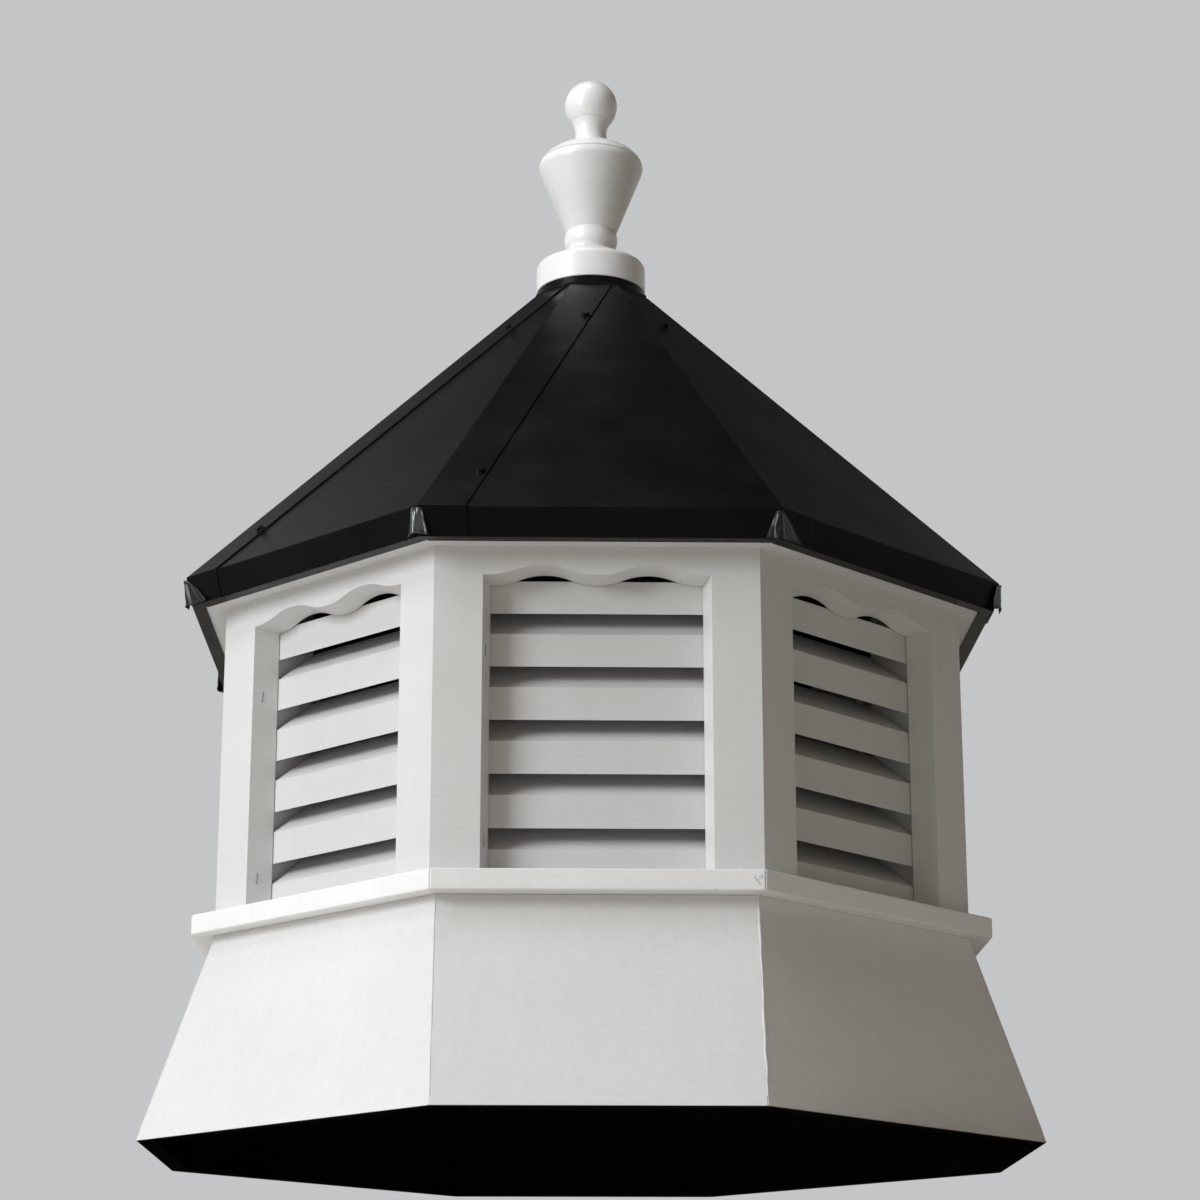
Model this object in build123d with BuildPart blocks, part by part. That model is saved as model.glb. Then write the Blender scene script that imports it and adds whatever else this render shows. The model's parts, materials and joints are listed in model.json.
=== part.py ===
from build123d import *
import os
from math import cos, hypot, radians, sin, sqrt, tan

# An eight-sided louvred cupola for a garage roof, in millimetres.
# The origin is at the centre of the base's level bottom edge, with +Z up.
# The front face looks along -Y.

# Body: eight equal walls on a mitred sill
wall_apothem = 381.0
wall_thickness = 27.0

# Vent opening in each wall, with a double-arched header
opening_width = 221.0
opening_height = 290.0
header_height = 31.5
jamb_splay = 7.0
header_splay = 3.0
arch_rise = 10.0
arch_end_flat = 3.25

# Louvre panel behind each opening
slat_pitch = 53.2
slat_slope = 37.0
slat_depth = 50.0
slat_thickness = 26.0
top_slat_drop = 28.5
louvre_drop = 5.0
slat_lap = 6.0
slat_setback = 1.0
slat_clearance = 0.3
rail_width = 12.0
rail_margin = 0.8
rail_corner_gap = 0.3

# Sill boards that carry the walls and the louvres, longer on the diagonal sides
sill_projection = 24.0
sill_corner_inset = 1.0
sill_thickness = 20.0
sill_inner_lip = 13.0

# Flared base, with square-sided panels between spreading diagonal ones
base_height = 205.0
base_flare = 71.0
base_corner_inset = 5.8
base_thickness = 19.0

# Soffit ring on top of the walls
soffit_thickness = 15.0
soffit_inner_lap = 24.0
soffit_edge_gap = 0.3

# Folded sheet roof, each sheet lapped over the next one at its right-hand hip
eave_projection = 40.8
fascia_height = 29.0
fascia_lean = 6.5
hem_width = 14.0
sheet_thickness = 1.5
roof_top_apothem = 62.0
roof_rise = 378.0
lap_width = 45.0
lap_root = 3.0

# Folded ears of sheet over the eave corners
ear_gap = 0.3
ear_height = 26.0
ear_bottom_leg = 12.0
ear_bottom_fold = 3.5
ear_top_leg = 4.0
ear_top_fold = 1.5

# Collar on the roof's peak, just inside the finial's plinth
collar_inset = 0.5
collar_height = 13.0
collar_flange = 3.0

# Plinth of the finial
plinth_radius = 61.5
plinth_edge_height = 30.0
plinth_chamfer = 6.0
plinth_height = 51.0
plinth_top_radius = 28.0

# Urn: a beaded foot, a straight taper, a shoulder and a low dome
foot_radius = 27.0
foot_height = 4.5
bead_radius = 30.3
bead_height = 19.5
bead_slope_height = 5.0
crease_radius = 28.8
taper_height = 78.0
urn_radius = 58.7
shoulder_radius = 59.4
shoulder_rise = 8.0
rim_radius = 55.3
rim_rise = 15.0
dome_height = 18.0

# Ball on its waisted neck
neck_root_radius = 24.0
neck_waist_radius = 17.8
neck_top_radius = 22.5
neck_height = 28.6
neck_waist_height = 11.0
ball_radius = 30.0

side_names = ["front", "front_right", "right", "back_right", "back", "back_left", "left", "front_left"]
side_turn = 360.0 / len(side_names)
half_turn = side_turn / 2
half_turn_slope = tan(radians(half_turn))
front_angle = -90.0

opening_back_half = opening_width / 2 - jamb_splay
louvre_front = wall_apothem - wall_thickness
top_slat_edge = opening_height - top_slat_drop
slat_rows = int(top_slat_edge // slat_pitch) + 2
slat_face = slat_thickness / cos(radians(slat_slope))
slat_rise = slat_depth * tan(radians(slat_slope))
louvre_top = opening_height + arch_rise - louvre_drop
rail_depth = slat_setback + slat_depth + rail_margin
wall_half_width = wall_apothem * half_turn_slope
sill_half_width = wall_half_width - sill_corner_inset
base_half_width = wall_half_width - base_corner_inset
base_bottom_apothem = wall_apothem + base_flare
eave_apothem = wall_apothem + eave_projection
fascia_apothem = eave_apothem - fascia_lean

wall_height = opening_height + header_height
sill_top = base_height + sill_thickness
soffit_bottom = sill_top + wall_height
fascia_bottom = soffit_bottom - sheet_thickness
eave_level = fascia_bottom + fascia_height
roof_top = eave_level + roof_rise
plinth_bottom = roof_top + collar_height
plinth_top = plinth_bottom + plinth_height

roof_run = eave_apothem - roof_top_apothem
above_peak = roof_top_apothem / 2
peak_point = (roof_top_apothem - above_peak, roof_top + above_peak * roof_rise / roof_run)
eave_point = (eave_apothem, eave_level)
fascia_point = (fascia_apothem, fascia_bottom)
hem_point = (fascia_apothem - hem_width, fascia_bottom)

os.makedirs("parts", exist_ok=True)


def side_angle(index):
    return front_angle + index * side_turn


def outward(angle):
    return Vector(cos(radians(angle)), sin(radians(angle)), 0)


def along(angle):
    return Vector(-sin(radians(angle)), cos(radians(angle)), 0)


def face_plane(angle, distance, height):
    """A plane facing outward, with x along the wall and y up."""
    normal = outward(angle)
    return Plane(origin=normal * distance + Vector(0, 0, height), x_dir=along(angle), z_dir=normal)


def section_plane(angle):
    """The upright plane through the axis and the middle of a side, with x outward and y up."""
    return Plane(origin=(0, 0, 0), x_dir=outward(angle), z_dir=along(angle) * -1)


def mitred_strip(angle, inner, outer):
    """Corner points of one side of an eight-sided ring, in plan."""
    corners = [(inner, -inner), (outer, -outer), (outer, outer), (inner, inner)]
    return [outward(angle) * out + along(angle) * (across * half_turn_slope) for out, across in corners]


def wall_panel(angle):
    """One routed board with a splayed opening under a double-arched header."""
    with BuildPart() as panel:
        with BuildSketch(Plane.XY.offset(sill_top)):
            with BuildLine():
                Polyline(*mitred_strip(angle, louvre_front, wall_apothem), close=True)
            make_face()
        extrude(amount=wall_height)
        for distance, half_width, valley in (
            (louvre_front, opening_back_half, opening_height),
            (wall_apothem, opening_width / 2, opening_height + header_splay),
        ):
            arch_end = half_width - arch_end_flat
            quarter = arch_end / 4
            crest = valley + arch_rise
            with BuildSketch(face_plane(angle, distance, sill_top)):
                with BuildLine():
                    for start, low, high in (
                        (-4, valley, crest),
                        (-2, crest, valley),
                        (0, valley, crest),
                        (2, crest, valley),
                    ):
                        middle = ((start + 1) * quarter, (low + high) / 2)
                        swell = TangentArc((start * quarter, low), middle, tangent=(1, 0))
                        TangentArc(swell @ 1, ((start + 2) * quarter, high), tangent=swell % 1)
                    Polyline(
                        (arch_end, valley),
                        (half_width, valley),
                        (half_width, 0),
                        (-half_width, 0),
                        (-half_width, valley),
                        (-arch_end, valley),
                    )
                make_face()
        loft(ruled=True, mode=Mode.SUBTRACT)
    return panel


def louvre_panel(angle):
    """Sloping slats with plumb-cut faces between two rails, mitred where they would meet the next panel's."""
    face = Vector(0, slat_face)
    run = Vector(-slat_depth, slat_rise)
    slat_half = opening_back_half + slat_lap
    rail_offset = slat_half + slat_clearance + rail_width / 2
    with BuildPart() as louvre:
        for row in range(slat_rows):
            edge = Vector(louvre_front - slat_setback, sill_top + top_slat_edge - row * slat_pitch)
            with BuildSketch(section_plane(angle)):
                with BuildLine():
                    Polyline(edge, edge + face, edge + face + run, edge + run, close=True)
                make_face()
            extrude(amount=slat_half, both=True)
        split(bisect_by=Plane.XY.offset(sill_top), keep=Keep.TOP)
        split(bisect_by=Plane.XY.offset(sill_top + louvre_top), keep=Keep.BOTTOM)
        with BuildSketch(face_plane(angle, louvre_front - rail_depth, sill_top + wall_height / 2)):
            with Locations((-rail_offset, 0), (rail_offset, 0)):
                Rectangle(rail_width, wall_height)
        extrude(amount=rail_depth)
        split(bisect_by=hip_plane(angle, -rail_corner_gap), keep=Keep.BOTTOM)
        split(bisect_by=hip_plane(angle - side_turn, rail_corner_gap), keep=Keep.TOP)
    return louvre


def plan_corner(index, reach, half_width):
    """A corner, in plan, of an octagon whose square sides have a set width, counted from front left."""
    quarter, second = divmod(index % len(side_names), 2)
    angle = front_angle + 2 * quarter * side_turn
    across = half_width if second else -half_width
    return outward(angle) * reach + along(angle) * across


def sill_board(index):
    """One mitred board of the sill."""
    inner = louvre_front - rail_depth - sill_inner_lip
    outer = wall_apothem + sill_projection
    with BuildPart() as board:
        with BuildSketch(Plane.XY.offset(base_height)):
            with BuildLine():
                Polyline(
                    plan_corner(index, inner, inner * half_turn_slope),
                    plan_corner(index, outer, sill_half_width),
                    plan_corner(index + 1, outer, sill_half_width),
                    plan_corner(index + 1, inner, inner * half_turn_slope),
                    close=True,
                )
            make_face()
        extrude(amount=sill_thickness)
    return board


def base_corner(index, reach):
    return plan_corner(index, reach, base_half_width)


def base_panel_reach(index, reach):
    """How far one base panel's face stands from the axis, in plan."""
    return (base_corner(index, reach) + base_corner(index + 1, reach)).length / 2


def base_normal(index):
    """The outward normal of one base panel's face."""
    flare = base_panel_reach(index, base_bottom_apothem) - base_panel_reach(index, wall_apothem)
    return (outward(side_angle(index)) * base_height + Vector(0, 0, flare)).normalized()


def base_panel(index):
    """One flared board of the base, mitred along its sloping ends."""
    top = base_panel_reach(index, wall_apothem)
    bottom = base_panel_reach(index, base_bottom_apothem)
    inset = base_thickness * hypot(bottom - top, base_height) / base_height
    with BuildPart() as panel:
        with BuildSketch(section_plane(side_angle(index))):
            with BuildLine():
                Polyline(
                    (bottom, 0),
                    (top, base_height),
                    (top - inset, base_height),
                    (bottom - inset, 0),
                    close=True,
                )
            make_face()
        extrude(amount=base_bottom_apothem, both=True)
        for corner, neighbour in ((index, index - 1), (index + 1, index + 1)):
            mitre = Plane(
                origin=base_corner(corner, base_bottom_apothem),
                z_dir=base_normal(index) - base_normal(neighbour),
            )
            split(bisect_by=mitre, keep=Keep.TOP)
    return panel


def hip_plane(angle, step):
    """The upright plane of a side's right-hand hip, moved by a step onto the next side."""
    normal = along(angle + half_turn)
    return Plane(origin=normal * step, z_dir=normal)


def slope_plane(angle, lift):
    """The plane of a side's roof face, lifted off it and facing outward."""
    eave = outward(angle) * eave_apothem + Vector(0, 0, eave_level)
    return Plane(origin=eave, z_dir=outward(angle) * roof_rise + Vector(0, 0, roof_run)).offset(lift)


def fascia_plane(angle, lift):
    """The plane of a side's fascia, lifted off it and facing outward."""
    eave = outward(angle) * eave_apothem + Vector(0, 0, eave_level)
    normal = outward(angle) * fascia_height - Vector(0, 0, fascia_lean)
    return Plane(origin=eave, z_dir=normal).offset(lift)


def roof_lap(angle):
    """The flange of one roof sheet that lies on the next sheet, down its slope and fascia."""
    neighbour = angle + side_turn
    with BuildPart() as lap:
        with BuildSketch(section_plane(neighbour)):
            with BuildLine():
                fold = Polyline(peak_point, eave_point, fascia_point)
                offset(fold, amount=sheet_thickness, side=Side.LEFT, kind=Kind.INTERSECTION)
            make_face()
        extrude(amount=eave_apothem / 2, both=True)
        split(bisect_by=hip_plane(angle, 0), keep=Keep.TOP)
        for limit in (
            hip_plane(angle, lap_width),
            hip_plane(neighbour, 0),
            slope_plane(angle, 0),
            fascia_plane(angle, 0),
        ):
            split(bisect_by=limit, keep=Keep.BOTTOM)
    return lap


def roof_panel(angle):
    """One sheet of the roof: its slope, fascia and hem, and the flange over its right-hand hip."""
    neighbour = angle + side_turn
    lap = roof_lap(angle)
    with BuildPart() as panel:
        with BuildSketch(section_plane(angle)):
            with BuildLine():
                fold = Polyline(peak_point, eave_point, fascia_point, hem_point)
                offset(fold, amount=sheet_thickness, side=Side.RIGHT, kind=Kind.INTERSECTION)
            make_face()
        extrude(amount=eave_apothem / 2, both=True)
        split(bisect_by=hip_plane(angle - side_turn, lap_root), keep=Keep.TOP)
        for limit in (
            hip_plane(angle, lap_root),
            slope_plane(neighbour, sheet_thickness),
            fascia_plane(neighbour, sheet_thickness),
        ):
            split(bisect_by=limit, keep=Keep.BOTTOM)
        add(lap.part)
        split(bisect_by=Plane.XY.offset(roof_top), keep=Keep.BOTTOM)
    return panel


def ear_outline(angle, apothem, leg, fold):
    """A folded strip round one corner in plan, just off the lapped fascia, bulging by the fold."""
    inner = apothem + sheet_thickness + ear_gap
    left = angle - half_turn
    right = angle + half_turn
    points = []
    for reach, end in ((inner, leg), (inner + fold, leg - fold)):
        near = outward(left) * reach + along(left) * (reach * half_turn_slope - end)
        far = outward(right) * reach - along(right) * (reach * half_turn_slope - end)
        points.append((near, far))
    corner = outward(angle) * (inner / cos(radians(half_turn)))
    return points[0][0], corner, points[0][1], points[1][1], points[1][0]


# Walls, louvres, sill, base and roof, one of each on every side
for number, side in enumerate(side_names):
    wall = wall_panel(side_angle(number))
    wall.part.label = f"wall_{side}"
    export_step(wall.part, f"parts/wall_{side}.step")

    louvre = louvre_panel(side_angle(number))
    louvre.part.label = f"louvre_{side}"
    export_step(louvre.part, f"parts/louvre_{side}.step")

    sill = sill_board(number)
    sill.part.label = f"sill_{side}"
    export_step(sill.part, f"parts/sill_{side}.step")

    base = base_panel(number)
    base.part.label = f"base_{side}"
    export_step(base.part, f"parts/base_{side}.step")

    roof = roof_panel(side_angle(number))
    roof.part.label = f"roof_{side}"
    export_step(roof.part, f"parts/roof_{side}.step")

# Soffit ring, held by the hems of the roof sheets
with BuildPart() as soffit_ring:
    with BuildSketch(Plane.XY.offset(soffit_bottom)):
        RegularPolygon(
            fascia_apothem - sheet_thickness - soffit_edge_gap,
            len(side_names),
            major_radius=False,
            rotation=half_turn,
        )
        RegularPolygon(
            louvre_front - soffit_inner_lap,
            len(side_names),
            major_radius=False,
            rotation=half_turn,
            mode=Mode.SUBTRACT,
        )
    extrude(amount=soffit_thickness)
soffit_ring.part.label = "soffit_ring"
export_step(soffit_ring.part, "parts/soffit_ring.step")

# Ears of folded sheet round the fascia's corners, narrow at the top and wide at the bottom
with BuildPart() as corner_clips:
    ear_top_apothem = fascia_apothem + fascia_lean * ear_height / fascia_height
    for number in range(len(side_names)):
        corner_angle = side_angle(number) + half_turn
        for level, apothem, leg, fold in (
            (fascia_bottom, fascia_apothem, ear_bottom_leg, ear_bottom_fold),
            (fascia_bottom + ear_height, ear_top_apothem, ear_top_leg, ear_top_fold),
        ):
            with BuildSketch(Plane.XY.offset(level)):
                with BuildLine():
                    Polyline(*ear_outline(corner_angle, apothem, leg, fold), close=True)
                make_face()
        loft(ruled=True)
corner_clips.part.label = "corner_clips"
export_step(corner_clips.part, "parts/corner_clips.step")

# Collar that closes the roof's peak: an eight-sided flange under a drum
with BuildPart() as roof_cap:
    with BuildSketch(Plane.XY.offset(roof_top)):
        RegularPolygon(roof_top_apothem, len(side_names), major_radius=False, rotation=half_turn)
    extrude(amount=collar_flange)
    with BuildSketch(Plane.XY.offset(roof_top + collar_flange)):
        Circle(plinth_radius - collar_inset)
    extrude(amount=collar_height - collar_flange)
roof_cap.part.label = "roof_cap"
export_step(roof_cap.part, "parts/roof_cap.step")

# Plinth of the finial: a drum with an eased edge and a conical top
with BuildPart() as finial_plinth:
    with BuildSketch(Plane.XZ):
        with BuildLine():
            Polyline(
                (0, plinth_bottom),
                (plinth_radius, plinth_bottom),
                (plinth_radius, plinth_bottom + plinth_edge_height),
                (plinth_radius - plinth_chamfer / 2, plinth_bottom + plinth_edge_height + plinth_chamfer),
                (plinth_top_radius, plinth_top),
                (0, plinth_top),
                close=True,
            )
        make_face()
    revolve(axis=Axis.Z)
finial_plinth.part.label = "finial_plinth"
export_step(finial_plinth.part, "parts/finial_plinth.step")

# Urn and ball, turned in one piece
bead_bottom = plinth_top + foot_height
crease_level = bead_bottom + bead_height
widest_level = crease_level + taper_height
rim_level = widest_level + rim_rise
neck_root = rim_level + dome_height
neck_top = neck_root + neck_height
waist_bottom = neck_root + (neck_height - neck_waist_height) / 2
ball_level = neck_top + sqrt(ball_radius**2 - neck_top_radius**2)
with BuildPart() as finial_urn:
    with BuildSketch(Plane.XZ):
        with BuildLine():
            body = Polyline(
                (0, plinth_top),
                (foot_radius, plinth_top),
                (foot_radius, bead_bottom),
                (bead_radius, bead_bottom + bead_slope_height),
                (bead_radius, crease_level - bead_slope_height),
                (crease_radius, crease_level),
                (urn_radius, widest_level),
                (shoulder_radius, widest_level + shoulder_rise),
                (rim_radius, rim_level),
                (neck_root_radius, neck_root),
                (neck_waist_radius, waist_bottom),
                (neck_waist_radius, waist_bottom + neck_waist_height),
                (neck_top_radius, neck_top),
            )
            ball = ThreePointArc(
                body @ 1, (ball_radius, ball_level), (0, ball_level + ball_radius)
            )
            Line(ball @ 1, (0, plinth_top))
        make_face()
    revolve(axis=Axis.Z)
finial_urn.part.label = "finial_urn"
export_step(finial_urn.part, "parts/finial_urn.step")
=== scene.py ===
"""Looks of the garage cupola: finishes, fixings, folded ears, turned finial, floor, light and camera."""
import json
import math

import bpy
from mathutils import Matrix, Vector, noise


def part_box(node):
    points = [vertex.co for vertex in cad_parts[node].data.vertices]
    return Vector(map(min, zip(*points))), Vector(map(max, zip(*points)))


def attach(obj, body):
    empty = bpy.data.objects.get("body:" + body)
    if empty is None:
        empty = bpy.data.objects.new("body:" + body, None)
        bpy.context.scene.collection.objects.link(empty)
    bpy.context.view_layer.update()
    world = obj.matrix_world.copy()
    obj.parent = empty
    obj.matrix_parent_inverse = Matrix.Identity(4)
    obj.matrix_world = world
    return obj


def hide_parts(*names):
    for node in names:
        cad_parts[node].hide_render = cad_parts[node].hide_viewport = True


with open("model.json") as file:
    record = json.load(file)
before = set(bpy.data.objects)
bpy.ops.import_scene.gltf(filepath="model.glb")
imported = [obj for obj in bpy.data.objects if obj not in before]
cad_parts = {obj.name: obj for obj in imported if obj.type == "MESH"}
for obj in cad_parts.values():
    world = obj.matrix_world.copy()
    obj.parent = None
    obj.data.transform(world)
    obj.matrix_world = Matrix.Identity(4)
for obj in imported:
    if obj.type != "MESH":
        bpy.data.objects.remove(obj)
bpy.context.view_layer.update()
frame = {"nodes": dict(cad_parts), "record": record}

MM = 0.001

# The octagon, with its sides counted from the front
FULL_TURN = 2 * math.pi
SIDES = 8
TURN = FULL_TURN / SIDES
HALF_TURN = TURN / 2
FRONT_ANGLE = -math.pi / 2

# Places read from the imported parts
WALL_REACH = -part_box("wall_front")[0].y
WALL_BACK = -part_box("wall_front")[1].y
BASE_REACH = -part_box("base_front")[0].y
BASE_HALF_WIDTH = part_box("base_front")[1].x
BASE_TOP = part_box("base_front")[1].z
SILL_REACH = -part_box("sill_front")[0].y
SILL_HALF_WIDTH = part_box("sill_front")[1].x
SILL_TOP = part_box("sill_front")[1].z
EAVE_REACH = -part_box("roof_front")[0].y
FASCIA_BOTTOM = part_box("roof_front")[0].z
ROOF_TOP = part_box("roof_front")[1].z
PLINTH_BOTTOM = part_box("finial_plinth")[0].z
PLINTH_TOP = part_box("finial_plinth")[1].z
FINIAL_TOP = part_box("finial_urn")[1].z

# The roof's folds, in the part's own sizes
FASCIA_HEIGHT = 29 * MM
FASCIA_LEAN = 6.5 * MM
SHEET = 1.5 * MM
LAP_WIDTH = 45 * MM
ROOF_TOP_REACH = 62 * MM
EAVE_LEVEL = FASCIA_BOTTOM + FASCIA_HEIGHT
ROOF_RUN = EAVE_REACH - ROOF_TOP_REACH
ROOF_RISE = ROOF_TOP - EAVE_LEVEL
SLOPE_LENGTH = math.hypot(ROOF_RUN, ROOF_RISE)

# The splayed openings at the walls' faces and backs, in the part's own sizes
OPENING_HALF_FRONT = 110.5 * MM
OPENING_HALF_BACK = 103.5 * MM


def side_angle(index):
    """The angle in plan that a side faces."""
    return FRONT_ANGLE + index * TURN


def outward(angle):
    """The level direction at an angle."""
    return Vector((math.cos(angle), math.sin(angle), 0))


def along(angle):
    """The level direction along a side that faces an angle, to the right seen from outside."""
    return Vector((-math.sin(angle), math.cos(angle), 0))


def up(height):
    """A rise by a height."""
    return Vector((0, 0, height))


def mix(a, b, share):
    """The value at a share of the way from a to b."""
    return a + (b - a) * share


def smooth_step(value, low, high):
    """Rises smoothly from 0 at low to 1 at high."""
    share = min(1, max(0, (value - low) / (high - low)))
    return share * share * (3 - 2 * share)


def hump(value, centre, width):
    """A rounded bump of height 1."""
    return math.exp(-(((value - centre) / width) ** 2))


# Finishes

# How white each kind of board is, and the gloss moulding. All the boards are one white paint. The base and
# the sill carry painted light: a lighter white for the light they catch outside the eave's shade. The
# louvres carry painted shade: a darker white for their shaded recess.
WHITE = 0.72
BASE_WHITE_WITH_PAINTED_LIGHT = 0.78
SILL_WHITE_WITH_PAINTED_LIGHT = 0.9
LOUVRE_WHITE_WITH_PAINTED_SHADE = 0.67
GLOSS_WHITE = 0.84

# Black sheet, on the whole, where it is clean and where it is dusty
BLACK = 0.004
CLEAN_BLACK = 0.003
DUSTY_BLACK = 0.0055

# Stipple of the white paint: grains a metre, and their depth
FINE_STIPPLE = (260, 0.25 * MM)
COARSE_STIPPLE = (130, 0.9 * MM)

# Blue that a warm grey loses for each share of red that it gains
BLUE_SHARE = 1.6


def grey(value, warmth=0.0):
    """A grey that is warmer by a small share, or cooler where the share is negative."""
    return (value * (1 + warmth), value, value * (1 - BLUE_SHARE * warmth))


def new_material(name, colour, roughness):
    """A principled material with its constant values set on the shader's own sockets."""
    material = bpy.data.materials.new(name)
    material.use_nodes = True
    shader = material.node_tree.nodes["Principled BSDF"]
    shader.inputs["Base Color"].default_value = (*colour, 1)
    shader.inputs["Roughness"].default_value = roughness
    return material, shader


def noise_texture(tree, scale, detail=2, stretch=(1, 1, 1)):
    """A noise texture in the object's own metres, stretched by a factor along each axis."""
    place = tree.nodes.new("ShaderNodeTexCoord")
    mapping = tree.nodes.new("ShaderNodeMapping")
    mapping.inputs["Scale"].default_value = tuple(1 / factor for factor in stretch)
    texture = tree.nodes.new("ShaderNodeTexNoise")
    texture.inputs["Scale"].default_value = scale
    texture.inputs["Detail"].default_value = detail
    tree.links.new(place.outputs["Object"], mapping.inputs["Vector"])
    tree.links.new(mapping.outputs["Vector"], texture.inputs["Vector"])
    return texture.outputs["Fac"]


def ramp(tree, source, dark, light, spread=(0.3, 0.7)):
    """Turns a value into a colour, which goes from dark to light over the spread."""
    mapped = tree.nodes.new("ShaderNodeValToRGB")
    mapped.color_ramp.elements[0].position = spread[0]
    mapped.color_ramp.elements[0].color = (*dark, 1)
    mapped.color_ramp.elements[1].position = spread[1]
    mapped.color_ramp.elements[1].color = (*light, 1)
    tree.links.new(source, mapped.inputs["Fac"])
    return mapped.outputs["Color"]


def multiply(tree, first, second):
    """Multiplies two colours."""
    node = tree.nodes.new("ShaderNodeMix")
    node.data_type = "RGBA"
    node.blend_type = "MULTIPLY"
    node.inputs["Factor"].default_value = 1
    tree.links.new(first, node.inputs["A"])
    tree.links.new(second, node.inputs["B"])
    return node.outputs["Result"]


def bump(tree, height, strength, distance, below=None):
    """A bump node for one height, over an earlier bump when one is given."""
    node = tree.nodes.new("ShaderNodeBump")
    node.inputs["Strength"].default_value = strength
    node.inputs["Distance"].default_value = distance
    tree.links.new(height, node.inputs["Height"])
    if below is not None:
        tree.links.new(below, node.inputs["Normal"])
    return node.outputs["Normal"]


def mix_shaders(tree, share, first, second):
    """The first shader where the share is 0, and the second where it is 1."""
    node = tree.nodes.new("ShaderNodeMixShader")
    for source, socket in zip((share, first, second), node.inputs):
        tree.links.new(source, socket)
    return node.outputs["Shader"]


def white_paint(name, tone, stipple):
    """Satin white paint: slow tonal drift, faint streaks, fine speckle, and a stipple of a given grain."""
    grain, grain_depth = stipple
    material, shader = new_material(name, grey(tone), roughness=0.5)
    tree = material.node_tree
    drift = ramp(
        tree,
        noise_texture(tree, scale=5, detail=3),
        dark=grey(tone * 0.955, warmth=0.008),
        light=grey(tone),
    )
    streaks = ramp(
        tree,
        noise_texture(tree, scale=90, stretch=(1, 1, 14)),
        dark=grey(0.975, warmth=0.004),
        light=grey(1),
        spread=(0.25, 0.75),
    )
    speckle = ramp(tree, noise_texture(tree, scale=grain, detail=3), dark=grey(0.965), light=grey(1))
    colour = multiply(tree, multiply(tree, drift, streaks), speckle)
    tree.links.new(colour, shader.inputs["Base Color"])

    waves = bump(tree, noise_texture(tree, scale=22, detail=1), strength=0.3, distance=0.8 * MM)
    grains = bump(tree, noise_texture(tree, scale=grain), strength=0.35, distance=grain_depth, below=waves)
    pores = bump(tree, noise_texture(tree, scale=1400), strength=0.3, distance=0.12 * MM, below=grains)
    tree.links.new(pores, shader.inputs["Normal"])

    dullness = ramp(tree, noise_texture(tree, scale=30, detail=3), dark=grey(0.44), light=grey(0.56))
    tree.links.new(dullness, shader.inputs["Roughness"])
    return material


def black_sheet(name, shine, ior, roughness):
    """Satin black coated sheet, with slow oil-canning, a fine orange peel and a little dust."""
    glossiest, dullest = roughness
    material, shader = new_material(name, grey(BLACK), roughness=glossiest)
    shader.inputs["Specular IOR Level"].default_value = shine
    shader.inputs["IOR"].default_value = ior
    tree = material.node_tree
    dust = ramp(
        tree,
        noise_texture(tree, scale=9, detail=4),
        dark=grey(CLEAN_BLACK),
        light=grey(DUSTY_BLACK),
        spread=(0.35, 0.75),
    )
    tree.links.new(dust, shader.inputs["Base Color"])

    dents = bump(tree, noise_texture(tree, scale=5, detail=1), strength=0.4, distance=3 * MM)
    peel = bump(tree, noise_texture(tree, scale=420), strength=0.12, distance=0.1 * MM, below=dents)
    tree.links.new(peel, shader.inputs["Normal"])

    dullness = ramp(
        tree,
        noise_texture(tree, scale=18, detail=3),
        dark=grey(glossiest),
        light=grey(dullest),
        spread=(0.25, 0.75),
    )
    tree.links.new(dullness, shader.inputs["Roughness"])
    return material


def white_gloss():
    """Gloss white moulding with faint ripples from its mould."""
    material, shader = new_material("white_gloss", grey(GLOSS_WHITE), roughness=0.3)
    tree = material.node_tree
    drift = ramp(
        tree,
        noise_texture(tree, scale=14, detail=3),
        dark=grey(GLOSS_WHITE * 0.96, warmth=0.008),
        light=grey(GLOSS_WHITE),
    )
    tree.links.new(drift, shader.inputs["Base Color"])

    ripples = bump(tree, noise_texture(tree, scale=45), strength=0.25, distance=0.5 * MM)
    pores = bump(tree, noise_texture(tree, scale=900), strength=0.15, distance=0.08 * MM, below=ripples)
    tree.links.new(pores, shader.inputs["Normal"])

    dullness = ramp(tree, noise_texture(tree, scale=60), dark=grey(0.26), light=grey(0.36))
    tree.links.new(dullness, shader.inputs["Roughness"])
    return material


def zinc():
    """Dull zinc of the staples, half painted over."""
    material, shader = new_material("zinc", grey(0.22), roughness=0.5)
    shader.inputs["Metallic"].default_value = 0.4
    tree = material.node_tree
    tint = ramp(tree, noise_texture(tree, scale=700), dark=grey(0.14), light=grey(0.3))
    tree.links.new(tint, shader.inputs["Base Color"])
    return material


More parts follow.
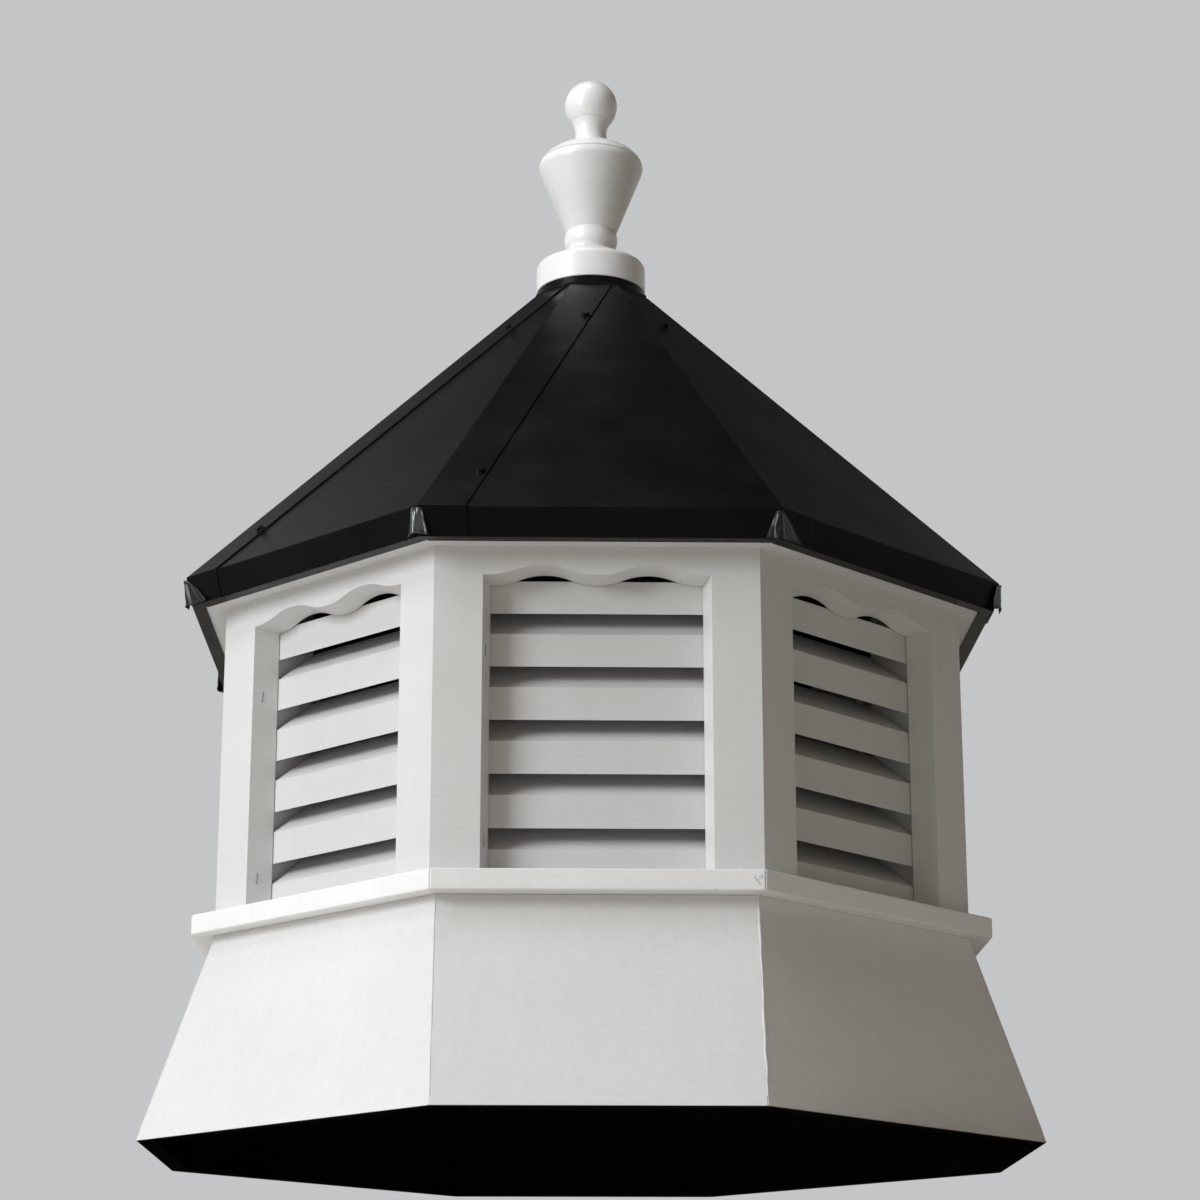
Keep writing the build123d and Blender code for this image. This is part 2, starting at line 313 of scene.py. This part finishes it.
# Every finish by its name, with a shinier black for each of the two kinds of ear
FINISHES = {
    "white_board": white_paint("white_board", WHITE, FINE_STIPPLE),
    # The next three are the boards' one white paint, lightened as painted light on the base and sill and
    # darkened as painted shade on the louvres
    "white_base_painted_light": white_paint("white_base_painted_light", BASE_WHITE_WITH_PAINTED_LIGHT, COARSE_STIPPLE),
    "white_sill_painted_light": white_paint("white_sill_painted_light", SILL_WHITE_WITH_PAINTED_LIGHT, FINE_STIPPLE),
    "white_louvre_painted_shade": white_paint("white_louvre_painted_shade", LOUVRE_WHITE_WITH_PAINTED_SHADE, FINE_STIPPLE),
    "black_sheet": black_sheet("black_sheet", shine=0.09, ior=1.5, roughness=(0.22, 0.3)),
    "black_fold": black_sheet("black_fold", shine=0.6, ior=1.8, roughness=(0.3, 0.36)),
    "black_ear": black_sheet("black_ear", shine=0.35, ior=1.5, roughness=(0.3, 0.36)),
    "white_gloss": white_gloss(),
    "zinc": zinc(),
}

# Finishes that differ from the part's slot, by the first word of a node's name: the same white paint with
# painted light on the base and sill, and painted shade on the louvres
BOARD_FINISHES = {"base": "white_base_painted_light", "sill": "white_sill_painted_light", "louvre": "white_louvre_painted_shade"}

# Widths of the eased edges, by the first word of a node's name
EASED_EDGES = {
    "wall": 0.7 * MM,
    "louvre": 0.8 * MM,
    "sill": 1.6 * MM,
    "base": 1.0 * MM,
    "soffit": 1.0 * MM,
    "roof": 0.5 * MM,
}

# Edges sharper than this angle in degrees are eased, and large faces keep their shading flat
EASED_ANGLE = 25
EASED_SEGMENTS = 3
WELD_DISTANCE = 0.01 * MM
FLAT_FACE_WEIGHT = 80


def ease_edges(node, width):
    """Rounds a board's or sheet's sharp edges a little, without touching its mesh."""
    weld = node.modifiers.new("weld", "WELD")
    weld.merge_threshold = WELD_DISTANCE
    bevel = node.modifiers.new("bevel", "BEVEL")
    bevel.width = width
    bevel.segments = EASED_SEGMENTS
    bevel.limit_method = "ANGLE"
    bevel.angle_limit = math.radians(EASED_ANGLE)
    normals = node.modifiers.new("normals", "WEIGHTED_NORMAL")
    normals.weight = FLAT_FACE_WEIGHT


def dress_nodes():
    """Gives every carried-over part its finish and its eased edges."""
    for part in frame["record"]["subparts"]:
        name = part["node"]
        node = frame["nodes"][name]
        kind = name.split("_")[0]
        finish = BOARD_FINISHES.get(kind, part["material_slot"])
        node.data.materials.clear()
        node.data.materials.append(FINISHES[finish])
        if kind in EASED_EDGES:
            ease_edges(node, EASED_EDGES[kind])


# Mesh making

# A radius under this lies on the axis
ON_AXIS = 1e-7


def add_piece(name, vertices, faces, finish, slot, sharp=35):
    """A smooth-shaded mesh that rides on the cupola, with edges over a sharp angle kept crisp."""
    mesh = bpy.data.meshes.new(name)
    mesh.from_pydata(vertices, [], faces)
    mesh.polygons.foreach_set("use_smooth", [True] * len(mesh.polygons))
    mesh.set_sharp_from_angle(angle=math.radians(sharp))
    mesh.materials.append(FINISHES[finish])
    piece = bpy.data.objects.new(name, mesh)
    bpy.context.scene.collection.objects.link(piece)
    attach(piece, "root")
    return piece


def joined(parts):
    """Several lists of vertices and faces as one."""
    vertices = []
    faces = []
    for part_vertices, part_faces in parts:
        start = len(vertices)
        vertices += part_vertices
        faces += [[start + corner for corner in face] for face in part_faces]
    return vertices, faces


def in_metres(profile, bottom=0):
    """A profile in millimetres as one in metres, raised to its bottom."""
    return [(radius * MM, bottom + height * MM) for radius, height in profile]


def arc(start, middle, end, steps=10):
    """Points of the circle through three profile points, from start to end."""
    (ax, ay), (bx, by), (cx, cy) = start, middle, end
    a, b, c = ax * ax + ay * ay, bx * bx + by * by, cx * cx + cy * cy
    twice = 2 * (ax * (by - cy) + bx * (cy - ay) + cx * (ay - by))
    x = (a * (by - cy) + b * (cy - ay) + c * (ay - by)) / twice
    y = (a * (cx - bx) + b * (ax - cx) + c * (bx - ax)) / twice
    first, passing, last = (math.atan2(py - y, px - x) for px, py in (start, middle, end))
    sweep = (last - first) % FULL_TURN
    if (passing - first) % FULL_TURN > sweep:
        sweep -= FULL_TURN
    radius = math.hypot(ax - x, ay - y)
    angles = [first + sweep * step / steps for step in range(steps + 1)]
    return [(x + radius * math.cos(angle), y + radius * math.sin(angle)) for angle in angles]


def lathe(profile, segments, place=lambda point: point):
    """A profile of radius and height turned about Z, closed where its ends lie on the axis."""
    vertices = []
    rings = []
    for radius, height in profile:
        count = 1 if radius < ON_AXIS else segments
        rings.append(list(range(len(vertices), len(vertices) + count)))
        for step in range(count):
            turn = FULL_TURN * step / segments
            point = Vector((radius * math.cos(turn), radius * math.sin(turn), height))
            vertices.append(place(point))
    faces = []
    for lower, upper in zip(rings, rings[1:]):
        for step in range(segments):
            after = (step + 1) % segments
            corners = [lower[step % len(lower)], lower[after % len(lower)]]
            corners += [upper[after % len(upper)], upper[step % len(upper)]]
            faces.append(list(dict.fromkeys(corners)))
    return vertices, faces


def tube(points, radii, sides=8):
    """A round bar through points, with a radius at each, closed at both ends."""
    vertices = []
    for index, (point, radius) in enumerate(zip(points, radii)):
        before = points[max(0, index - 1)]
        after = points[min(len(points) - 1, index + 1)]
        turned = (after - before).to_track_quat("Z", "Y")
        for step in range(sides):
            vertices.append(point + turned @ outward(FULL_TURN * step / sides) * radius)
    faces = [list(range(sides))[::-1], list(range(len(vertices) - sides, len(vertices)))]
    for ring in range(len(points) - 1):
        low = ring * sides
        high = low + sides
        for step in range(sides):
            after = (step + 1) % sides
            faces.append([low + step, low + after, high + after, high + step])
    return vertices, faces


def standing_on(origin, normal):
    """Places a local point with Z along a surface's normal."""
    turned = normal.to_track_quat("Z", "Y")
    return lambda point: origin + turned @ point


# Finial, turned with rounder mouldings than the plain solids

FINIAL_SEGMENTS = 144

# The plinth, in millimetres, with a rounded edge from its side to its sloping top
PLINTH_RADIUS = 61.5
PLINTH_CHAMFER = 0.8
PLINTH_EDGE_TOP = 30.0
ROUND_DROP = 2
ROUND_MIDDLE_IN = 1.6
ROUND_MIDDLE_UP = 2.6
ROUND_WIDTH = 7.0
ROUND_LIFT = 1.4
URN_MARGIN = 1

# The urn's profile points: radius, and height above the plinth, in millimetres
URN_FOOT = (27.0, 4.2)
BEAD_MIDDLE = (30.3, 14.3)
BEAD_TOP = (28.6, 23.6)
TAPER_START = (29.2, 25.2)
TAPER_END = (58.4, 99.5)
SHOULDER_MIDDLE = (59.3, 104.8)
SHOULDER_TOP = (58.6, 109.0)
RIM_GROOVE = ((56.3, 109.3), (56.3, 111.0))
LID_EDGE = (57.6, 111.3)
LID_MIDDLE = (44.5, 124.0)
LID_TOP = (25.0, 129.5)
NECK_MIDDLE = (17.8, 146.5)
NECK_TOP = (22.4, 162.9)
BALL_START = (22.8, 163.9)
BALL_RADIUS = 30.0

# Depths of the creases over the bead and under the ball, in millimetres
BEAD_CREASE = 0.3
BALL_CREASE = 0.5


def crease(below, above, depth):
    """The bottom of a crease between two profile points, set in from the lower one."""
    return (below[0] - depth, (below[1] + above[1]) / 2)


def turned_plinth():
    """The plinth as a fine turned moulding in place of the faceted solid."""
    height = (PLINTH_TOP - PLINTH_BOTTOM) / MM
    top_slope = (height - PLINTH_EDGE_TOP) / (PLINTH_RADIUS - URN_FOOT[0])
    round_top = PLINTH_EDGE_TOP + ROUND_WIDTH * top_slope + ROUND_LIFT
    profile = [(0, 0), (PLINTH_RADIUS - PLINTH_CHAMFER, 0), (PLINTH_RADIUS, PLINTH_CHAMFER)]
    profile += arc(
        (PLINTH_RADIUS, PLINTH_EDGE_TOP - ROUND_DROP),
        (PLINTH_RADIUS - ROUND_MIDDLE_IN, PLINTH_EDGE_TOP + ROUND_MIDDLE_UP),
        (PLINTH_RADIUS - ROUND_WIDTH, round_top),
    )
    profile += [(URN_FOOT[0] + URN_MARGIN, height), (0, height)]
    turned = lathe(in_metres(profile, PLINTH_BOTTOM), FINIAL_SEGMENTS)
    plinth = add_piece("turned_plinth", *turned, finish="white_gloss", slot="white_gloss")
    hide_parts("finial_plinth")


def turned_urn():
    """The urn and its ball as a fine turned moulding in place of the faceted solid."""
    ball_level = (FINIAL_TOP - PLINTH_TOP) / MM - BALL_RADIUS
    profile = [(0, 0), (URN_FOOT[0], 0)]
    profile += arc(URN_FOOT, BEAD_MIDDLE, BEAD_TOP, steps=14)
    profile += [crease(BEAD_TOP, TAPER_START, BEAD_CREASE), TAPER_START]
    profile += arc(TAPER_END, SHOULDER_MIDDLE, SHOULDER_TOP, steps=14)
    profile += RIM_GROOVE
    profile += arc(LID_EDGE, LID_MIDDLE, LID_TOP, steps=12)
    profile += arc(LID_TOP, NECK_MIDDLE, NECK_TOP, steps=16)[1:]
    profile += [crease(NECK_TOP, BALL_START, BALL_CREASE)]
    profile += arc(BALL_START, (BALL_RADIUS, ball_level), (0, ball_level + BALL_RADIUS), steps=36)
    turned = lathe(in_metres(profile, PLINTH_TOP), FINIAL_SEGMENTS)
    urn = add_piece("turned_urn", *turned, finish="white_gloss", slot="white_gloss")
    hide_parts("finial_urn")


# Roof screws: profiles of a washer, a flange and a hexagon head, in millimetres

SCREW_WASHER = [(0, -0.4), (5.3, -0.4), (5.3, 0.5), (4.9, 0.9), (4.5, 0.9)]
SCREW_FLANGE = [(4.6, 0.7), (4.6, 1.1), (4.1, 1.5), (3.0, 1.8), (0, 1.8)]
SCREW_HEAD = [(3.9, 1.4), (3.9, 3.0), (3.3, 3.6), (0, 3.8)]
ROUND_SEGMENTS = 24
HEXAGON_SEGMENTS = 6

# Where each screw sits: distance up the slope, and share of the lap's width from the hip
TOP_SCREW = (0.84 * SLOPE_LENGTH, 0.86)
BOTTOM_SCREW = (69 * MM, 0.84)

# The lap strip on which the photo shows no lower screw
BARE_STRIP = 1


def slope_point(index, up_slope, from_hip):
    """A point on a lap strip, so far up the slope and so far from the hip, with the slope's normal."""
    angle = side_angle(index)
    normal = (outward(angle) * ROOF_RISE + up(ROOF_RUN)) / SLOPE_LENGTH
    reach = EAVE_REACH - ROOF_RUN * up_slope / SLOPE_LENGTH
    across = from_hip / math.cos(HALF_TURN) - reach * math.tan(HALF_TURN)
    level = EAVE_LEVEL + ROOF_RISE * up_slope / SLOPE_LENGTH
    point = outward(angle) * reach + along(angle) * across + up(level) + normal * SHEET
    return point, normal


def roof_screws():
    """Two screws down each lap strip of the roof, but one on the bare strip."""
    parts = []
    for index in range(SIDES):
        spots = [TOP_SCREW] if index == BARE_STRIP else [TOP_SCREW, BOTTOM_SCREW]
        for up_slope, share in spots:
            place = standing_on(*slope_point(index, up_slope, LAP_WIDTH * share))
            for profile, segments in (
                (SCREW_WASHER, ROUND_SEGMENTS),
                (SCREW_FLANGE, ROUND_SEGMENTS),
                (SCREW_HEAD, HEXAGON_SEGMENTS),
            ):
                parts.append(lathe(in_metres(profile), segments, place))
    add_piece("roof_screws", *joined(parts), finish="black_sheet", slot="black_sheet")


# Ears: the folded sheet at the eave's corners

# Height over the fascia's lower edge, mesh columns and rows, and thickness
EAR_TOP = 26.5 * MM
EAR_COLUMNS = 44
EAR_ROWS = 22
EAR_SHEET = 0.6 * MM

# Left and right: widths from the corner at the top and at the bottom, in millimetres
# Bend: where the ear starts and ends turning the corner, in millimetres to its right
# Arch: rise of the lower edge's middle, and belly and pleats: bulges outward, in millimetres
# Roll: a ridge's place, from -1 to 1 across the ear, and its height in millimetres
# Lean: share of the fascia's lean that the ear follows
LEAF = {
    "left": (5, 10),
    "right": (5, 12),
    "bend": (-8.5, -2.5),
    "arch": 1.4,
    "roll": (0.9, 0.5),
    "belly": 1.0,
    "pleats": 0.1,
    "lean": 0.1,
    "finish": "black_fold",
}
FAN = {
    "left": (2, 12),
    "right": (2, 31),
    "bend": (-3.5, 3.5),
    "arch": -1.0,
    "roll": (0.1, 1.3),
    "belly": 0.7,
    "pleats": 0.15,
    "lean": 0.5,
    "finish": "black_ear",
}
EARS = (FAN, LEAF) * (SIDES // 2)

# Power by which an ear widens downward, and its hang below the fascia, in millimetres
WIDENING = 0.8
EDGE_DROP = 0.3

# Lifts off the fascia in millimetres, the second over the lap flange at the right
LIFT = 0.5
LAP_LIFT = 1.4
LAP_LIFT_RUN = 9 * MM

# Where the belly is on its half wave at the ear's tip, and how far it goes from there
BELLY_START = 0.25
BELLY_SPAN = 0.6

# The roll's width and the power by which it grows downward, and the pleats across the ear
ROLL_WIDTH = 0.12
ROLL_GROWTH = 0.35
PLEAT_COUNT = 3.1

# Two puckers at the tip: height in millimetres, place, width and length
PUCKER = 1.2
PUCKER_PLACE = 0.45
PUCKER_WIDTH = 0.3
PUCKER_LENGTH = 0.1

# Crumples: height in millimetres, and their number across, down and from ear to ear
CRUMPLE = 0.6
CRUMPLES = (4, 3, 7)

# The turned-out lip at the lower edge, in millimetres, and where it starts
LIP = 0.9
LIP_START = 0.86


def ear_lift(shape, run, u, v, seed):
    """How far a point of an ear stands off the fascia, in millimetres."""
    roll, roll_height = shape["roll"]
    across, down, apart = CRUMPLES
    lift = LIFT + LAP_LIFT * smooth_step(run, -LAP_LIFT_RUN, 0)
    lift += shape["belly"] * (1 - u * u) * math.sin(math.pi * (BELLY_START + BELLY_SPAN * v))
    lift += roll_height * hump(u, roll, ROLL_WIDTH) * v**ROLL_GROWTH
    lift += shape["pleats"] * v * math.cos(PLEAT_COUNT * math.pi * u + seed)
    lift += PUCKER * hump(abs(u), PUCKER_PLACE, PUCKER_WIDTH) * hump(v, 0, PUCKER_LENGTH)
    lift += CRUMPLE * noise.noise(Vector((across * u, down * v, apart * seed)))
    lift += LIP * smooth_step(v, LIP_START, 1)
    return lift


def ear_point(corner_angle, shape, u, v, seed):
    """A point of an ear: u runs round the corner from -1 to 1, and v down from its tip."""
    left = corner_angle - HALF_TURN
    right = corner_angle + HALF_TURN
    half_width = mix(*shape["left" if u < 0 else "right"], v**WIDENING)
    run = u * half_width * MM
    bottom = shape["arch"] * (1 - u * u) - EDGE_DROP
    level = mix(EAR_TOP, bottom * MM, v)
    reach = EAVE_REACH - FASCIA_LEAN * shape["lean"] * (1 - level / FASCIA_HEIGHT)
    turned = smooth_step(run / MM, *shape["bend"])
    normal = mix(outward(left), outward(right), turned).normalized()
    corner = outward(corner_angle) * (reach / math.cos(HALF_TURN))
    seat = corner + mix(along(left), along(right), turned) * run
    return seat + normal * (ear_lift(shape, run, u, v, seed) * MM) + up(FASCIA_BOTTOM + level)


def corner_ears():
    """One crumpled ear of sheet at each corner of the eave."""
    for index in range(SIDES):
        corner_angle = side_angle(index) + HALF_TURN
        shape = EARS[index]
        vertices = []
        for row in range(EAR_ROWS + 1):
            for column in range(EAR_COLUMNS + 1):
                u = 2 * column / EAR_COLUMNS - 1
                vertices.append(ear_point(corner_angle, shape, u, row / EAR_ROWS, seed=index + 1))
        faces = []
        for row in range(EAR_ROWS):
            for column in range(EAR_COLUMNS):
                first = row * (EAR_COLUMNS + 1) + column
                below = first + EAR_COLUMNS + 1
                faces.append([first, below, below + 1, first + 1])
        name = f"ear_{index + 1}"
        ear = add_piece(name, vertices, faces, finish=shape["finish"], slot="black_sheet", sharp=180)
        thickness = ear.modifiers.new("thickness", "SOLIDIFY")
        thickness.thickness = EAR_SHEET
        thickness.offset = -1
        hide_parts("corner_clips")


# Caulk down the base's corners, and dabs of it on the sill

# The square-sided boards are on every other side, from the front
SQUARE_SIDES = range(0, SIDES, 2)

# The bead's radius, the share of it sunk into the corner, and its gap over the floor
CAULK_RADIUS = 1.5 * MM
CAULK_SUNK = 0.75
CAULK_ABOVE_FLOOR = 9 * MM
CAULK_STEPS = 60

# The full bead's corner, by its side and its end, and the size of the other beads
FULL_CORNER = (0, 1)
THIN_SIZE = 0.55

# Unevenness: its size, the noise's waves down a corner, and its step from corner to corner
WANDER = 1.6 * MM
WANDER_WAVES = 9
WANDER_STEP = 9.1
SWELL = 0.35
SWELL_WAVES = 14
SWELL_STEP = 5.3


def base_caulk():
    """A thin wavy bead of caulk down each mitred corner of the base, fuller at the front right."""
    parts = []
    for index in SQUARE_SIDES:
        angle = side_angle(index)
        for end in (-1, 1):
            edge = along(angle) * (end * BASE_HALF_WIDTH)
            top = outward(angle) * WALL_REACH + edge + up(BASE_TOP)
            foot = outward(angle) * BASE_REACH + edge
            corner = outward(angle + end * HALF_TURN)
            sideways = along(angle + end * HALF_TURN)
            seed = index + end
            size = 1 if (index, end) == FULL_CORNER else THIN_SIZE
            radius = CAULK_RADIUS * size
            points = []
            radii = []
            for step in range(CAULK_STEPS + 1):
                share = step / CAULK_STEPS * (1 - CAULK_ABOVE_FLOOR / BASE_TOP)
                sway = noise.noise(Vector((0, seed * WANDER_STEP, WANDER_WAVES * share)))
                wander = sway * size**2 * WANDER
                points.append(mix(top, foot, share) - corner * (CAULK_SUNK * radius) + sideways * wander)
                lump = noise.noise(Vector((seed * SWELL_STEP, 0, SWELL_WAVES * share)))
                radii.append(radius * (1 + SWELL * size * lump))
            parts.append(tube(points, radii))
    add_piece("base_caulk", *joined(parts), finish="white_board", slot="white_board", sharp=60)


# A dab's profile: share of its radius, and height in millimetres
DAB_PROFILE = [(0, 0.2), (0.45, 0.25), (0.75, 0.55), (1, 0.3), (1.1, -0.3), (0, -0.3)]
DAB_SEGMENTS = 18

# Each dab's distance from the sill's end, drop below its top, and radius, in millimetres
DABS = ((5, 7, 2.0), (8.5, 11, 1.7), (10.5, 8, 1.5), (6, 13.5, 1.2), (47, 19.2, 0.9))


def sill_dabs():
    """Small ring-shaped dabs of caulk on the sill, near the right end of each square side."""
    parts = []
    for index in SQUARE_SIDES:
        angle = side_angle(index)
        for inward, drop, radius in DABS:
            spot = outward(angle) * SILL_REACH + along(angle) * (SILL_HALF_WIDTH - inward * MM)
            place = standing_on(spot + up(SILL_TOP - drop * MM), outward(angle))
            profile = [(share * radius, height) for share, height in DAB_PROFILE]
            parts.append(lathe(in_metres(profile), DAB_SEGMENTS, place))
    add_piece("sill_dabs", *joined(parts), finish="white_board", slot="white_board", sharp=60)


# Staples in the jambs

# Heights over the sill, share of the way into the wall, half length, and radius
STAPLE_HEIGHTS = (32 * MM, 220 * MM)
STAPLE_IN = 0.4
STAPLE_HALF = 5.5 * MM
STAPLE_RADIUS = 0.6 * MM
STAPLE_SIDES = 6

# Share of its radius by which a staple's middle stands off the jamb
STAPLE_PROUD = 0.2

# Bends of a staple: share of its half length, millimetres outward, and share of its radius sunk
STAPLE_BENDS = (
    (-1, 0.4, 0.5),
    (-0.75, 0.4, 0),
    (0.05, 0.2, 0),
    (0.2, -0.2, 0.5),
    (0.75, -0.4, 0),
    (1, -0.4, 0.5),
)


def staples():
    """Two staples in the left-hand jamb of every opening."""
    parts = []
    for index in range(SIDES):
        angle = side_angle(index)
        jamb = outward(angle) * mix(WALL_REACH, WALL_BACK, STAPLE_IN)
        jamb -= along(angle) * mix(OPENING_HALF_FRONT, OPENING_HALF_BACK, STAPLE_IN)
        for height in STAPLE_HEIGHTS:
            points = [
                jamb
                + up(SILL_TOP + height + STAPLE_HALF * rise)
                + outward(angle) * (aside * MM)
                + along(angle) * (STAPLE_RADIUS * (STAPLE_PROUD - sunk))
                for rise, aside, sunk in STAPLE_BENDS
            ]
            parts.append(tube(points, [STAPLE_RADIUS] * len(points), STAPLE_SIDES))
    add_piece("staples", *joined(parts), finish="zinc", slot="white_board", sharp=60)


# Floor

FLOOR_SIZE = 40
FLOOR_GREY = 0.62
FLOOR_WARMTH = 0.05
FLOOR_DARKEST = 0.97
FLOOR_ROUGHNESS = 0.8


def floor():
    """A pale floor that is seen from above only, because the photo's camera is below it."""
    half = FLOOR_SIZE / 2
    mesh = bpy.data.meshes.new("floor")
    corners = [(-half, -half, 0), (half, -half, 0), (half, half, 0), (-half, half, 0)]
    mesh.from_pydata(corners, [], [(0, 1, 2, 3)])
    ground = bpy.data.objects.new("floor", mesh)
    bpy.context.scene.collection.objects.link(ground)
    pale = grey(FLOOR_GREY, FLOOR_WARMTH)
    darkest = grey(FLOOR_GREY * FLOOR_DARKEST, FLOOR_WARMTH)
    material, shader = new_material("floor", pale, FLOOR_ROUGHNESS)
    tree = material.node_tree
    tint = ramp(tree, noise_texture(tree, scale=3, detail=3), dark=darkest, light=pale)
    tree.links.new(tint, shader.inputs["Base Color"])
    seen_side = tree.nodes.new("ShaderNodeNewGeometry").outputs["Backfacing"]
    clear = tree.nodes.new("ShaderNodeBsdfTransparent").outputs["BSDF"]
    surface = mix_shaders(tree, seen_side, shader.outputs["BSDF"], clear)
    tree.links.new(surface, tree.nodes["Material Output"].inputs["Surface"])
    mesh.materials.append(material)


# Backdrop

WORLD_LIGHT = 0.15
WORLD_TINT = (1.0, 0.84, 0.66, 1)
BACKDROP_GREY = 0.56
BACKDROP_WARMTH = -0.01

# What gloss sees overhead and below, and the heights over which it fades, on a ball of radius 1
OVERHEAD_GREY = 0.03
OVERHEAD_FADE = (0.5, 0.625)
OVERHEAD_TILT = 0.15
BELOW_SHARE = 0.03
BELOW_FADE = (0.0, 0.06)


def background(tree, strength):
    """A world background shader of a given strength."""
    shader = tree.nodes.new("ShaderNodeBackground")
    shader.inputs["Strength"].default_value = strength
    return shader


def backdrop():
    """A dim warm world for the shade, and a plain pale backdrop, darker overhead and below for gloss."""
    world = bpy.data.worlds.new("studio")
    bpy.context.scene.world = world
    world.use_nodes = True
    tree = world.node_tree
    tree.nodes.clear()
    pale = grey(BACKDROP_GREY, BACKDROP_WARMTH)
    light = background(tree, WORLD_LIGHT)
    light.inputs["Color"].default_value = WORLD_TINT
    seen = background(tree, 1)
    seen.inputs["Color"].default_value = (*pale, 1)
    mirrored = background(tree, 1)

    place = tree.nodes.new("ShaderNodeTexCoord")
    split = tree.nodes.new("ShaderNodeSeparateXYZ")
    tilted = tree.nodes.new("ShaderNodeMath")
    tilted.operation = "MULTIPLY_ADD"
    tilted.inputs[1].default_value = OVERHEAD_TILT
    tree.links.new(place.outputs["Generated"], split.inputs["Vector"])
    tree.links.new(split.outputs["X"], tilted.inputs[0])
    tree.links.new(split.outputs["Z"], tilted.inputs[2])
    high = ramp(tree, tilted.outputs["Value"], pale, grey(OVERHEAD_GREY), OVERHEAD_FADE)
    low = ramp(tree, split.outputs["Z"], grey(BELOW_SHARE), grey(1), BELOW_FADE)
    tree.links.new(multiply(tree, high, low), mirrored.inputs["Color"])

    rays = tree.nodes.new("ShaderNodeLightPath")
    glossy = tree.nodes.new("ShaderNodeMath")
    glossy.operation = "MAXIMUM"
    tree.links.new(rays.outputs["Is Glossy Ray"], glossy.inputs[0])
    tree.links.new(rays.outputs["Is Transmission Ray"], glossy.inputs[1])
    shown = light.outputs["Background"]
    shown = mix_shaders(tree, glossy.outputs["Value"], shown, mirrored.outputs["Background"])
    shown = mix_shaders(tree, rays.outputs["Is Camera Ray"], shown, seen.outputs["Background"])
    output = tree.nodes.new("ShaderNodeOutputWorld")
    tree.links.new(shown, output.inputs["Surface"])


# Lamps: name, elevation in degrees and power in watts, in an upright row left of the front

LAMPS = (("low", 15, 106), ("key", 45, 50), ("top", 75, 54))
LAMP_TARGET = Vector((0, 0, 0.6))
LAMP_AZIMUTH = 50
LAMP_DISTANCE = 4.2
LAMP_SIZE = 1.6
LAMP_COLOUR = (0.93, 0.97, 1.0)


def area_light(name, elevation, power):
    """A square soft lamp that faces the cupola, from the left of its front."""
    turn = math.radians(LAMP_AZIMUTH)
    rise = math.radians(elevation)
    level = math.cos(rise)
    towards = Vector((-math.sin(turn) * level, -math.cos(turn) * level, math.sin(rise)))
    lamp = bpy.data.lights.new(name, "AREA")
    lamp.size = LAMP_SIZE
    lamp.energy = power
    lamp.color = LAMP_COLOUR
    holder = bpy.data.objects.new(name, lamp)
    holder.location = LAMP_TARGET + towards * LAMP_DISTANCE
    holder.rotation_euler = (-towards).to_track_quat("-Z", "Y").to_euler()
    bpy.context.scene.collection.objects.link(holder)


# Camera: its place in metres, its angles in degrees, and its lens in millimetres

CAMERA_PLACE = (-54.5 * MM, -3127 * MM, -319.3 * MM)
CAMERA_PITCH = 16.47
CAMERA_YAW = 1.19
SENSOR = 36.0
LENS = 89.04
CLIP_START = 0.05
CLIP_END = 60


def camera():
    """The photo's viewpoint: close, low and tilted up."""
    data = bpy.data.cameras.new("camera")
    data.sensor_fit = "HORIZONTAL"
    data.sensor_width = SENSOR
    data.lens = LENS
    data.clip_start = CLIP_START
    data.clip_end = CLIP_END
    holder = bpy.data.objects.new("camera", data)
    holder.location = CAMERA_PLACE
    holder.rotation_euler = (math.radians(90 + CAMERA_PITCH), 0, math.radians(-CAMERA_YAW))
    bpy.context.scene.collection.objects.link(holder)
    bpy.context.scene.camera = holder


camera()
dress_nodes()
turned_plinth()
turned_urn()
roof_screws()
corner_ears()
base_caulk()
sill_dabs()
staples()
floor()
backdrop()
for lamp_name, lamp_elevation, lamp_power in LAMPS:
    area_light(lamp_name, lamp_elevation, lamp_power)
bpy.context.scene.view_settings.view_transform = "Standard"
